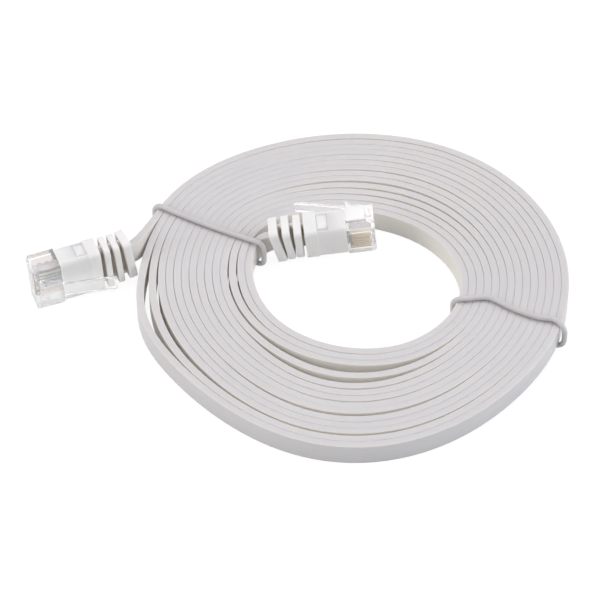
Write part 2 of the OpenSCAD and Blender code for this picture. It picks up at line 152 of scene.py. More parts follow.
# The hole is a circle that is shifted, made oval, and swollen in places: direction, width and
# how sharply the place closes. The pitch from turn to turn swells in the same way.
HOLE_R, HOLE_SHIFT, HOLE_OVAL = 23.9, (1.1, 1.4), (0.8, -0.5)
HOLE_SWELLS = [(135, 2.9, 4), (338, 0.45, 24)]
PITCH = 1.8
PITCH_SWELLS = [(52, 0.22, 3), (268, 0.02, 3), (186, 0.07, 8), (214, 0.06, 8)]
# Loose places: direction, turn after which it opens, width, how sharply it closes.
SLACK = [
    (268, 0, 0.2, 4), (264, 2, 2.3, 4), (262, 3, 1.6, 5), (272, 4, 0.4, 4), (268, 6, 0.25, 4),
    (268, 8, 0.75, 4), (268, 11, 0.6, 4),
    (191, 12, 1.4, 24), (208, 11, 0.7, 12), (190, 11, 0.2, 6),
    (190, 2, 0.3, 6), (190, 1, 0.35, 6),
    (100, 12, 0.15, 4), (82, 4, 0.55, 4), (76, 3, 0.45, 4), (70, 2, 0.4, 4), (76, 6, 0.25, 4)]


def bump(a, power):
    """max(0, cos a) ** power, with a in degrees."""
    return np.maximum(0, np.cos(np.radians(a))) ** power


def ease(x):
    """c * c * (3 - 2 c), with c = x held between 0 and 1."""
    c = np.clip(x, 0, 1)
    return c * c * (3 - 2 * c)


def swells(a, places):
    """Sum of width * bump(a - at, power) over the places (at, width, power)."""
    return sum(wide * bump(a - at, power) for at, wide, power in places)


def coil_radius(a):
    """hole(a) + pitch(a) * turn + loose places, with turn = (a - FROM) / 360. The hole is
    HOLE_R + shift (cos a, sin a) + oval (cos 2a, sin 2a) + its swells."""
    turn = (a - FROM) / 360
    once, twice = np.radians(a), np.radians(2 * a)
    hole = (HOLE_R + HOLE_SHIFT[0] * np.cos(once) + HOLE_SHIFT[1] * np.sin(once)
            + HOLE_OVAL[0] * np.cos(twice) + HOLE_OVAL[1] * np.sin(twice)
            + swells(a, HOLE_SWELLS))
    loose = sum(wide * bump(a - at, sharp) * ease(turn - after - ((at - FROM + 360) % 360) / 360)
                for at, after, wide, sharp in SLACK)
    return hole + (PITCH + swells(a, PITCH_SWELLS)) * turn + loose


def coil_at(a):
    """(r cos a, r sin a, climb over the ties): the foot of the cable."""
    r, t = coil_radius(a), np.radians(a)
    z = CLIMB * np.maximum(*(bump(a - at, CLIMB_POWER) for at in CLIMB_AT))
    return np.stack([r * np.cos(t), r * np.sin(t), z], axis=-1)


def unit(v):
    """v / |v| along the last axis."""
    return v / np.linalg.norm(v, axis=-1, keepdims=True)


def turned(axis, degrees):
    """4 x 4 turn about X, Y or Z."""
    c, s = math.cos(math.radians(degrees)), math.sin(math.radians(degrees))
    m = np.eye(4)
    i, j = {"x": (1, 2), "y": (2, 0), "z": (0, 1)}[axis]
    m[i, i], m[i, j], m[j, i], m[j, j] = c, -s, s, c
    return m


def moved(x, y, z):
    """4 x 4 shift."""
    m = np.eye(4)
    m[:3, 3] = x, y, z
    return m


# How each plug lies: where its cable enters the boot in plan, then in degrees its heading from
# nose to cable, its slope up to the cable and its lean, and the boot's bend, rise and twist at
# each groove. Plug a is the outer one, and plug b lies in the hole.
PLUG_PLACES = {
    "a": {"x": -53.6, "y": 8.81, "heading": 20.5, "slope": 2.7, "lean": -3,
          "bend": 2, "rise": 2.2, "twist": 0},
    "b": {"x": -19.09, "y": 14.52, "heading": 183.5, "slope": -5.8, "lean": -18,
          "bend": 0, "rise": -4, "twist": 4}}
# Sizes of plug and boot along X, from the nose, with their widths and heights. Each rib is
# TAPER narrower than the one before.
PLUG_W, PLUG_H, NOSE_LEN, PLUG_LEN = 11.68, 6.6, 6.9, 16.2
COLLAR_W, COLLAR_H, TAPER = 11.78, 6.7, 0.1
BAND_X, BAND_END, BAND_H = 14.0, 17.0, 0.15
GROOVE_W, RIB_T, RIM_LEN = 0.85, 1.65, 2.1
TAIL_END = GROOVE_W + RIM_LEN


def tail_frame(p, k):
    """Frame of groove k of the boot: each groove is turned on from the one before."""
    m = moved(BAND_END, 0, 0)
    for _ in range(k):
        m = (m @ moved(GROOVE_W + RIB_T, 0, 0) @ turned("x", p["twist"])
             @ turned("y", p["bend"]) @ turned("z", p["rise"]))
    return m


def plug_frame(p):
    """Frame of a plug, its lowest corner on the table: X from nose to cable, Z to the latch."""
    up = turned("z", p["heading"]) @ turned("y", -p["slope"]) @ turned("x", 90 + p["lean"])
    band_w, band_h = COLLAR_W + 2 * BAND_H, COLLAR_H + 2 * BAND_H
    outlines = [(up, 0, PLUG_W, PLUG_H), (up, NOSE_LEN, PLUG_W, PLUG_H),
                (up, BAND_X, band_w, band_h), (up, BAND_END, band_w, band_h)]
    for k in (1, 2, 3):
        rib = up @ tail_frame(p, k - 1)
        rib_end = GROOVE_W + (RIM_LEN if k == 3 else RIB_T)
        outlines += [(rib, x, COLLAR_W - TAPER * k, COLLAR_H - TAPER * k)
                     for x in (GROOVE_W, rib_end)]
    lowest = min((m @ (x, y * w, z * h, 1))[2] for m, x, w, h in outlines
                 for y in (-0.5, 0.5) for z in (-0.5, 0.5))
    end = up @ tail_frame(p, 2) @ (TAIL_END, 0, 0, 1)
    return moved(p["x"] - end[0], p["y"] - end[1], -lowest) @ up


def free_length(letter, start, pull, sag, count):
    """Cubic Bezier from the coil's end into the boot, its handles `pull` mm long, less
    sag * 16 (t (1 - t))^2 in height. Points, sides and ups come back: the up direction turns
    from upright to the boot's own, and is made square to the run."""
    p = PLUG_PLACES[letter]
    m = plug_frame(p) @ tail_frame(p, 2) @ moved(TAIL_END, 0, 0)
    outwards = 1 if letter == "a" else -1
    run = coil_at(np.array([start + 1.0])) - coil_at(np.array([start - 1.0]))
    run[:, 2] = 0
    run = unit(run)[0] * outwards
    p0 = coil_at(np.array([float(start)]))[0] + (0, 0, CABLE_W / 2)
    p3 = m[:3, 3]
    p1, p2 = p0 + run * pull[0], p3 + m[:3, 0] * pull[1]

    def at(t):
        """The Bezier's points at the shares t."""
        t = t[:, None]
        return ((1 - t) ** 3 * p0 + 3 * t * (1 - t) ** 2 * p1 + 3 * t * t * (1 - t) * p2
                + t ** 3 * p3 - sag * 16 * (t * (1 - t)) ** 2 * np.array([0, 0, 1.0]))

    t = np.linspace(0, 1, count)
    along = unit(at(t + 0.01) - at(t - 0.01))
    lean = np.outer(1 - t, (0, 0, 1)) + np.outer(t, m[:3, 1])
    up = unit(lean - (lean * along).sum(1, keepdims=True) * along)
    side = np.cross(along, up) * outwards
    return at(t), side, up


# The coil runs from the outer end to the inner one, between the two free lengths.
coil_a = np.arange(TO, FROM - 0.1, -RING_EVERY)
lead_a = [v[:0:-1] for v in free_length("a", TO, pull=(10, 2.5), sag=0, count=29)]
lead_b = [v[1:] for v in free_length("b", FROM, pull=(10, 1.2), sag=0.27, count=25)]
coil_c = coil_at(coil_a) + (0, 0, CABLE_W / 2)
coil_d = coil_at(coil_a + 1) - coil_at(coil_a - 1)
coil_side = unit(np.stack([coil_d[:, 1], -coil_d[:, 0], 0 * coil_a], axis=-1))


def wander(rate, start=0):
    """sin(rate * a + start) along the coil, in degrees."""
    return np.sin(np.radians(rate * coil_a + start))


# Every turn sits a little differently: some stand up to 0.12 mm high, and some lean by up to
# 0.3 degrees. It fades out over 60 degrees at both ends, and where the turns climb.
STAND, LEAN, SETTLES_OVER = 0.06, 0.3, 60
climbed = (coil_c[:, 2] - CABLE_W / 2) / CLIMB
settle = (ease((coil_a - FROM) / SETTLES_OVER) * ease((TO - coil_a) / SETTLES_OVER)
          * (1 - climbed))
coil_c[:, 2] += settle * STAND * (1 + 0.6 * wander(0.731) + 0.4 * wander(1.618, 40))
coil_lean = np.radians(LEAN * settle * wander(0.577, 110))
coil_up = np.stack([np.sin(coil_lean) * coil_side[:, 0], np.sin(coil_lean) * coil_side[:, 1],
                    np.cos(coil_lean)], axis=-1)
centre = np.concatenate([lead_a[0], coil_c, lead_b[0]]) + RING_CENTRE
side = np.concatenate([lead_a[1], coil_side, lead_b[1]])
upward = np.concatenate([lead_a[2], coil_up, lead_b[2]])
run_on = np.concatenate([[0], np.cumsum(np.linalg.norm(np.diff(centre, axis=0), axis=1))])


def flat_section(width, thick, radius, corner=5):
    """Rounded rectangle, counter-clockwise: corner arcs joined by straight sides."""
    a = np.radians(np.concatenate([np.linspace(q, q + 90, corner) for q in (-90, 0, 90, 180)]))
    sx = np.repeat([1, 1, -1, -1], corner)
    sy = np.repeat([-1, 1, 1, -1], corner)
    return np.stack([sx * (thick / 2 - radius) + radius * np.cos(a),
                     sy * (width / 2 - radius) + radius * np.sin(a)], axis=-1)


def ring_mesh(name, points, closed=False, uv=None, masks=None):
    """Quads over a grid of rings, (rings, k, 3) in mm; open ends become faces, all outwards.
    uv is (u of each ring, v of each point of the section), and masks are values of each point."""
    rings, k, _ = points.shape
    if np.einsum("ijk,ijk->", points[:-1], np.cross(np.roll(points[:-1], -1, 1), points[1:])) < 0:
        points = points[::-1]
        uv = None if uv is None else (uv[0][::-1], uv[1])
        masks = None if masks is None else {m: v[::-1] for m, v in masks.items()}
    i = np.arange(rings if closed else rings - 1)[:, None]
    j = np.arange(k)[None, :]
    n, up = (j + 1) % k, (i + 1) % rings
    quads = np.stack([i * k + j, i * k + n, up * k + n, up * k + j], axis=-1).reshape(-1, 4)
    faces = quads.tolist()
    if not closed:
        faces += [list(range(k - 1, -1, -1)), [(rings - 1) * k + q for q in range(k)]]
    mesh = bpy.data.meshes.new(name)
    mesh.from_pydata((points.reshape(-1, 3) * MM).tolist(), [], faces)
    if uv is not None:
        layer = mesh.uv_layers.new(name="run")
        u, v = uv
        u0, u1, v0, v1 = np.broadcast_arrays(u[i], u[i + 1], v[j], v[j + 1])
        on_quads = np.stack([u0, v0, u0, v1, u1, v1, u1, v0], axis=-1).reshape(-1, 2)
        on_ends = np.zeros((len(mesh.loops) - len(on_quads), 2))
        layer.data.foreach_set("uv", np.concatenate([on_quads, on_ends]).ravel().astype(np.float32))
    for mask, value in (masks or {}).items():
        layer = mesh.attributes.new(mask, "FLOAT", "POINT")
        layer.data.foreach_set("value", value.ravel().astype(np.float32))
    mesh.polygons.foreach_set("use_smooth", np.ones(len(mesh.polygons), dtype=bool))
    mesh.update()
    piece = bpy.data.objects.new(name, mesh)
    scene.collection.objects.link(piece)
    return piece


section = flat_section(CABLE_W, CABLE_T, EDGE_R)
section_run = np.concatenate([[0], np.cumsum(np.linalg.norm(
    np.diff(np.concatenate([section, section[:1]]), axis=0), axis=1))])
skin = (centre[:, None] + section[None, :, :1] * side[:, None]
        + section[None, :, 1:] * upward[:, None])
# The map of the skin is in centimetres, along the run and round the section.
skin_map = (run_on / 10, section_run / 10)
narrow = np.clip((np.abs(section[:, 1]) - (CABLE_W / 2 - EDGE_R)) / EDGE_R, 0, 1)
# All flat faces are shut in, but for the outer face of the free length a and of the last
# turn, which comes into the open over 20 degrees.
OPENS_OVER = 20
in_the_open = np.concatenate([np.ones(len(lead_a[0])),
                              ease((coil_a - (TO - 360)) / OPENS_OVER + 0.5),
                              np.zeros(len(lead_b[0]))])
# The shut_in mask tells the jacket where to paint its warm bounce light.
shut_in = 1 - in_the_open[:, None] * (section[None, :, 0] > 0)
cable = ring_mesh("flat_cable", skin, uv=skin_map,
                  masks={"narrow_edge": np.tile(narrow, (len(skin), 1)), "shut_in": shut_in})


def socketed(tree, name, kind, out=False, value=None):
    """Adds a named input or output to a node group."""
    socket = tree.interface.new_socket(name=name, in_out="OUTPUT" if out else "INPUT",
                                       socket_type=kind)
    if value is not None:
        socket.default_value = value


def colour_mix(tree, blend="MIX", **values):
    """A Mix node for colours, with values on its sockets A, B or Factor."""
    mix = tree.nodes.new("ShaderNodeMix")
    mix.data_type, mix.blend_type = "RGBA", blend
    for socket, value in values.items():
        mix.inputs[socket].default_value = value
    return mix


# A moulded or extruded plastic skin is never quite even: it has faint clouds, fine grain and
# a few dull rubbed patches.
plastic_skin = bpy.data.node_groups.new("plastic_skin", "ShaderNodeTree")
for name, value in (("Cloud Size", 60.0), ("Grain Size", 900.0), ("Roughness", 0.4),
                    ("Uneven", 0.1), ("Rubbed", 0.1)):
    socketed(plastic_skin, name, "NodeSocketFloat", value=value)
socketed(plastic_skin, "Vector", "NodeSocketVector")
socketed(plastic_skin, "Light", "NodeSocketColor", value=(0.8, 0.8, 0.8, 1))
socketed(plastic_skin, "Dark", "NodeSocketColor", value=(0.7, 0.7, 0.7, 1))
socketed(plastic_skin, "Color", "NodeSocketColor", out=True)
socketed(plastic_skin, "Roughness", "NodeSocketFloat", out=True)
socketed(plastic_skin, "Height", "NodeSocketFloat", out=True)
inside = plastic_skin.nodes
come, go = inside.new("NodeGroupInput"), inside.new("NodeGroupOutput")
cloud, grain, rub = (inside.new("ShaderNodeTexNoise") for _ in range(3))
cloud.inputs["Detail"].default_value = 3
grain.inputs["Detail"].default_value = 4
rub.inputs["Scale"].default_value = 210
rub.inputs["Detail"].default_value = 5
rub.inputs["Roughness"].default_value = 0.65
tone = colour_mix(plastic_skin)
patch = inside.new("ShaderNodeMapRange")
patch.inputs["From Min"].default_value = 0.55
patch.inputs["From Max"].default_value = 0.75
uneven, worn, rough, total = (inside.new("ShaderNodeMath") for _ in range(4))
uneven.operation = worn.operation = "MULTIPLY"
rough.operation = total.operation = "ADD"
linked(plastic_skin,
       (come.outputs["Vector"], cloud.inputs["Vector"]),
       (come.outputs["Vector"], grain.inputs["Vector"]),
       (come.outputs["Vector"], rub.inputs["Vector"]),
       (come.outputs["Cloud Size"], cloud.inputs["Scale"]),
       (come.outputs["Grain Size"], grain.inputs["Scale"]),
       (cloud.outputs["Fac"], tone.inputs["Factor"]),
       (come.outputs["Dark"], tone.inputs["A"]),
       (come.outputs["Light"], tone.inputs["B"]),
       (tone.outputs["Result"], go.inputs["Color"]),
       (grain.outputs["Fac"], uneven.inputs[0]),
       (come.outputs["Uneven"], uneven.inputs[1]),
       (rub.outputs["Fac"], patch.inputs["Value"]),
       (patch.outputs["Result"], worn.inputs[0]),
       (come.outputs["Rubbed"], worn.inputs[1]),
       (uneven.outputs[0], rough.inputs[0]),
       (come.outputs["Roughness"], rough.inputs[1]),
       (rough.outputs[0], total.inputs[0]),
       (worn.outputs[0], total.inputs[1]),
       (total.outputs[0], go.inputs["Roughness"]),
       (grain.outputs["Fac"], go.inputs["Height"]))


def plastic(name, light, dark, rough, uneven, cloud_size, grain_size, grain_depth, **fixed):
    """A Principled material fed by plastic_skin, its grain `grain_depth` mm deep; `fixed` are
    constants on the shader."""
    material = bpy.data.materials.new(name)
    material.use_nodes = True
    tree = material.node_tree
    shader = tree.nodes["Principled BSDF"]
    coords = tree.nodes.new("ShaderNodeTexCoord")
    skin_node = tree.nodes.new("ShaderNodeGroup")
    skin_node.name, skin_node.node_tree = "skin", plastic_skin
    for socket, value in (("Light", (*light, 1)), ("Dark", (*dark, 1)), ("Roughness", rough),
                          ("Uneven", uneven), ("Cloud Size", cloud_size),
                          ("Grain Size", grain_size), ("Rubbed", 0.08)):
        skin_node.inputs[socket].default_value = value
    relief = tree.nodes.new("ShaderNodeBump")
    relief.name = "relief"
    relief.inputs["Distance"].default_value = grain_depth * MM
    relief.inputs["Strength"].default_value = 1
    linked(tree,
           (coords.outputs["Object"], skin_node.inputs["Vector"]),
           (skin_node.outputs["Color"], shader.inputs["Base Color"]),
           (skin_node.outputs["Roughness"], shader.inputs["Roughness"]),
           (skin_node.outputs["Height"], relief.inputs["Height"]),
           (relief.outputs["Normal"], shader.inputs["Normal"]))
    for key, value in fixed.items():
        shader.inputs[key.replace("_", " ")].default_value = value
    return material


def mask_of(tree, name):
    """The value of a mask that the mesh carries."""
    node = tree.nodes.new("ShaderNodeAttribute")
    node.attribute_name = name
    return node.outputs["Fac"]


# Soft matt vinyl with fine lines along the run, from the die. Light is painted on the flat faces:
# the face that the coil turns outwards is painted a shade cooler than the narrow edges, and the
# shut in faces are painted warmer and paler, as painted bounce light between the turns.
jacket_vinyl = plastic("jacket_vinyl", (0.698, 0.68, 0.682), (0.653, 0.636, 0.638),
                       rough=0.40, uneven=0.1, cloud_size=90, grain_size=1400, grain_depth=0.006,
                       Subsurface_Weight=0.45, Subsurface_Radius=(1.0, 0.84, 0.62),
                       Subsurface_Scale=0.0014)
tree = jacket_vinyl.node_tree
shader, skin_node, relief = (tree.nodes[n] for n in ("Principled BSDF", "skin", "relief"))
run_map = tree.nodes.new("ShaderNodeUVMap")
run_map.uv_map = "run"
stretch = tree.nodes.new("ShaderNodeMapping")
stretch.inputs["Scale"].default_value = (0.25, 34, 1)
die_lines = tree.nodes.new("ShaderNodeTexNoise")
die_lines.inputs["Scale"].default_value = 1
die_lines.inputs["Detail"].default_value = 2
painted_light_on_flats = colour_mix(tree, "MULTIPLY")
painted_face_tones = colour_mix(tree, A=(0.98, 0.995, 1.01, 1), B=(1.165, 1.16, 1.09, 1))
on_flat = tree.nodes.new("ShaderNodeMath")
on_flat.operation = "SUBTRACT"
on_flat.inputs[0].default_value = 1
streak = colour_mix(tree, A=(0.93, 0.93, 0.93, 1), B=(1.0, 1.0, 1.0, 1))
lined = colour_mix(tree, "MULTIPLY", Factor=1)
height = tree.nodes.new("ShaderNodeMath")
height.operation = "ADD"
linked(tree,
       (run_map.outputs["UV"], stretch.inputs["Vector"]),
       (stretch.outputs["Vector"], die_lines.inputs["Vector"]),
       (mask_of(tree, "narrow_edge"), on_flat.inputs[1]),
       (on_flat.outputs[0], painted_light_on_flats.inputs["Factor"]),
       (skin_node.outputs["Color"], painted_light_on_flats.inputs["A"]),
       (mask_of(tree, "shut_in"), painted_face_tones.inputs["Factor"]),
       (painted_face_tones.outputs["Result"], painted_light_on_flats.inputs["B"]),
       (die_lines.outputs["Fac"], streak.inputs["Factor"]),
       (painted_light_on_flats.outputs["Result"], lined.inputs["A"]),
       (streak.outputs["Result"], lined.inputs["B"]),
       (lined.outputs["Result"], shader.inputs["Base Color"]),
       (skin_node.outputs["Height"], height.inputs[0]),
       (die_lines.outputs["Fac"], height.inputs[1]),
       (height.outputs[0], relief.inputs["Height"]))
cable.data.materials.append(jacket_vinyl)
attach(cable, "cable")
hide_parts("cable_coil", "cable_lead_a", "cable_lead_b")

# The cable's ends inside the boots and plugs.
jacket_end = plastic("jacket_end", (0.715, 0.70, 0.69), (0.675, 0.66, 0.65),
                     rough=0.42, uneven=0.1, cloud_size=90, grain_size=1400, grain_depth=0.01)
for node in ("cable_end_a", "cable_end_b"):
    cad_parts[node].data.materials.clear()
    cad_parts[node].data.materials.append(jacket_end)
# Everything on plug b, at the cable's far end. Its boot, body and latch are added when made.
on_plug_b = ["cable_end_b"] + [f"{n}_b_{i}" for n in ("contact", "conductor") for i in range(1, 9)]

# ==== Wire ties =========================================================================
# Two short lengths of soft steel wire with a pale vinyl coating, bent by hand round all the
# turns until their cut ends nearly meet underneath. The cutter pinches the coating there.
TIE_D, TIE_CORE_D = 1.3, 0.5
TIE_LOW, TIE_HIGH = 0.65, 7.9
# The cut ends of each tie stop this far apart, pinched to this share of the thickness.
CUT_GAP, CUT_END = 2.0, 0.86
# From the middle of a turn of the solids' cable, 1.35 mm thick, to a tie's coating.
BESIDE = 1.35 / 2 + 0.2
# The outer bends are wide and stand off the turns, and the top sags a little.
OUTER_BEND, OUTER_SLACK, TOP_BOW = 2.6, 0.7, 0.12


def radius_at(a):
    """coil_radius of one direction."""
    return float(coil_radius(np.array([float(a)]))[0])


def along_tie(r, off):
    """sqrt(r * r - off * off) to 0.1 mm, for a tie that passes the centre at `off` mm."""
    return round(math.sqrt(r * r - off * off) * 10) / 10


# Each tie's direction and distance from the centre, where its uprights stand, the radius of
# its inner bends, and how it is bent sideways: the slant at its inner end, a bow, a shift, and
# humps at a share of the way across, with their width and height.
TIES = {
    "a": {"direction": 152, "off": 0.0,
          "inner": along_tie(radius_at(152 + 360) - PITCH - BESIDE, 0) - 1.8,
          "outer": along_tie(radius_at(152 + 360 * 14) + BESIDE, 0) + TIE_D / 2,
          "inner_bend": 1.8, "slant": 0, "bow": 0.5, "shift": 0, "humps": []},
    "b": {"direction": 333, "off": 7.8,
          "inner": along_tie(radius_at(351) - BESIDE, 7.8) - TIE_D / 2 + 0.2,
          "outer": along_tie(radius_at(342 + 360 * 13) + BESIDE, 7.8) + TIE_D / 2,
          "inner_bend": 2.6, "slant": 3, "bow": 0, "shift": -0.2,
          "humps": [(0.3, 0.15, 0.9), (0.88, 0.1, 1.1)]}}


def quarter_bend(x, z, radius, start):
    """(x + radius cos q, z + radius sin q), with q from `start` down to start - 90 degrees."""
    q = np.radians(np.linspace(start, start - 90, 9))
    return np.stack([x + radius * np.cos(q), z + radius * np.sin(q)], axis=-1)


def tie_route(tie):
    """A loop round the turns, with share s from 0 inside to 1 outside, whose top sags by
    TOP_BOW sin(pi s). Sideways it lies at off - slant (1 - ease(s / 0.3)), to which its upper
    part adds bow sin(pi s) + shift + the humps, height * exp(-((s - at) / width)^2)."""
    a, b, r = tie["inner"], tie["outer"] + OUTER_SLACK, tie["inner_bend"]
    mid = (a + b) / 2
    top_x = np.linspace(a + r, b - OUTER_BEND, 40)[1:-1]
    xz = np.concatenate([
        [(mid - CUT_GAP / 2, TIE_LOW), (mid - 4, TIE_LOW), (a + r + 3, TIE_LOW)],
        quarter_bend(a + r, TIE_LOW + r, r, 270),
        quarter_bend(a + r, TIE_HIGH - r, r, 180),
        np.stack([top_x, np.full(len(top_x), TIE_HIGH)], axis=-1),
        quarter_bend(b - OUTER_BEND, TIE_HIGH - OUTER_BEND, OUTER_BEND, 90),
        quarter_bend(b - OUTER_BEND, TIE_LOW + OUTER_BEND, OUTER_BEND, 0),
        [(b - OUTER_BEND - 3, TIE_LOW), (mid + 4, TIE_LOW), (mid + CUT_GAP / 2, TIE_LOW)]])
    share = np.clip((xz[:, 0] - a) / (b - a), 0, 1)
    high = ease((xz[:, 1] - 4) / 3)
    bow = np.sin(math.pi * share)
    humps = sum(tall * np.exp(-((share - at) / wide) ** 2) for at, wide, tall in tie["humps"])
    y = (tie["off"] - tie["slant"] * (1 - ease(share / 0.3))
         + high * (tie["bow"] * bow + tie["shift"] + humps))
    z = xz[:, 1] - high * TOP_BOW * bow
    c, s = math.cos(math.radians(tie["direction"])), math.sin(math.radians(tie["direction"]))
    return np.stack([xz[:, 0] * c - y * s, xz[:, 0] * s + y * c, z], axis=-1) + RING_CENTRE


def round_tube(route, diameter, across, count=14):
    """Circle carried along a route; its first direction is `across` made square to the run."""
    along = unit(np.gradient(route, axis=0))
    first = unit(across - (along @ across)[:, None] * along)
    second = np.cross(along, first)
    q = np.arange(count) * 2 * math.pi / count
    return (route[:, None] + diameter / 2 * (np.cos(q)[None, :, None] * first[:, None]
                                             + np.sin(q)[None, :, None] * second[:, None]))


tie_vinyl = plastic("tie_vinyl", (0.62, 0.602, 0.612), (0.55, 0.535, 0.543),
                    rough=0.36, uneven=0.12, cloud_size=300, grain_size=2500, grain_depth=0.01,
                    Coat_Weight=0.15, Coat_Roughness=0.3)
tie_steel = plastic("tie_steel", (0.55, 0.55, 0.56), (0.4, 0.4, 0.41),
                    rough=0.3, uneven=0.2, cloud_size=600, grain_size=4000, grain_depth=0.005,
                    Metallic=1.0)
for letter, tie in TIES.items():
    direction = math.radians(tie["direction"])
    across = np.array([-math.sin(direction), math.cos(direction), 0.0])
    route = tie_route(tie)
    for node, thick, finish, shape in (("tie", TIE_D, tie_vinyl, "tie_coating"),
                                       ("tie_core", TIE_CORE_D, tie_steel, "tie_wire")):
        rings = round_tube(route, thick, across)
        if node == "tie":
            for end in (0, -1):
                middle = rings[end].mean(0)
                rings[end] = middle + CUT_END * (rings[end] - middle)
        wire = ring_mesh(f"{shape}_{letter}", rings)
        wire.data.materials.append(finish)
        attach(wire, "cable")
        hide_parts(f"{node}_{letter}")

# ==== Boots =============================================================================
# A sleeve of soft white vinyl moulded over the back of each plug. Its rear half is cut into
# ribs by three grooves, so that it bends with the cable, and a window on each narrow side
# catches a lug of the plug.
BOOT_X, BOOT_ROUND, SOFT = 6.95, 1.2, 0.28
CORE_W, CORE_H, WEB_T, WEB_SHIFT, WEB_INSET = 7.2, 3.15, 1.1, 0.3, 0.4
WINDOW_X, WINDOW_LEN, WINDOW_TOP = 11.3, 2.7, 2.0
INNER_W, INNER_H, FIT = 11.08, 6.0, 0.05
# Half the width left in a window, and less of it below the plug body's low edge.
PARED, PARED_LOW, LOW_EDGE, LUG_FOOT = 5.78, 5.2, -2.96, -2.5
# Two rings this close together make a crisp edge.
CRISP = 0.02
# A groove's two sides and the mouth of the bore flare out over a short length.
GROOVE_FLARE, GROOVE_FLARE_LEN, MOUTH_FLARE, MOUTH_FLARE_LEN = 1.02, 0.06, 1.06, 0.12
# How much thicker the ribs of each boot came out, at the front.
RIB_EXTRA = {"a": -0.09, "b": 0.15}


def section_rays(corner=6):
    """Directions (cos, sin) of points spread round a rounded rectangle of the collar's size."""
    q = np.radians(np.linspace(0, 90, corner))
    w, h, r = COLLAR_W / 2, COLLAR_H / 2, BOOT_ROUND
    arc = np.stack([w - r + r * np.cos(q), h - r + r * np.sin(q)], -1)
    side = np.array([[w, z] for z in (0.0, 0.55, 1.1, 1.6, WINDOW_TOP)])
    top = np.array([[y, h] for y in np.linspace(w - r, 0, 9)[1:]])
    quarter = np.concatenate([side, arc, top])
    half = np.concatenate([quarter, (quarter * (-1, 1))[-2:0:-1], [[-w, 0]]])
    ring = np.concatenate([half, (half * (1, -1))[-2:0:-1]])
    return unit(ring)


rays = section_rays()


def block_reach(w, h, r):
    """Distance from the middle to a rounded rectangle of half sizes w, h along each ray."""
    c, s = np.abs(rays[:, 0]), np.abs(rays[:, 1])
    b = c * (w - r) + s * (h - r)
    corner = b + np.sqrt(np.maximum(b * b - (w - r) ** 2 - (h - r) ** 2 + r * r, 0))
    to_side, to_top = w / np.maximum(c, 1e-9), h / np.maximum(s, 1e-9)
    return np.where(to_side * s <= h - r, to_side, np.where(to_top * c <= w - r, to_top, corner))


def web_reach(w):
    """Distance along each ray to the flat web of half width w, a little above the middle."""
    c, s = np.abs(rays[:, 0]), np.abs(rays[:, 1])
    tall = np.where(rays[:, 1] > 0, WEB_SHIFT + WEB_T / 2, WEB_T / 2 - WEB_SHIFT)
    return np.minimum(w / np.maximum(c, 1e-9), tall / np.maximum(s, 1e-9))


def softened(x0, x1, w, h, r, soft=SOFT, rear=True):
    """Stations (x, reach) of a block from x0 to x1 whose end edges are quarter rounds; its
    rear edge may stay square."""
    q = np.radians(np.linspace(0, 90, 5))
    along, inwards = soft * (1 - np.cos(q)), soft * (1 - np.sin(q))
    lead = list(zip(x0 + along, inwards))
    tail = list(zip(x1 - along, inwards))[::-1] if rear else [(x1, 0.0)]
    return [(x, block_reach(w - d, h - d, max(r - d, 0.15))) for x, d in lead + tail]


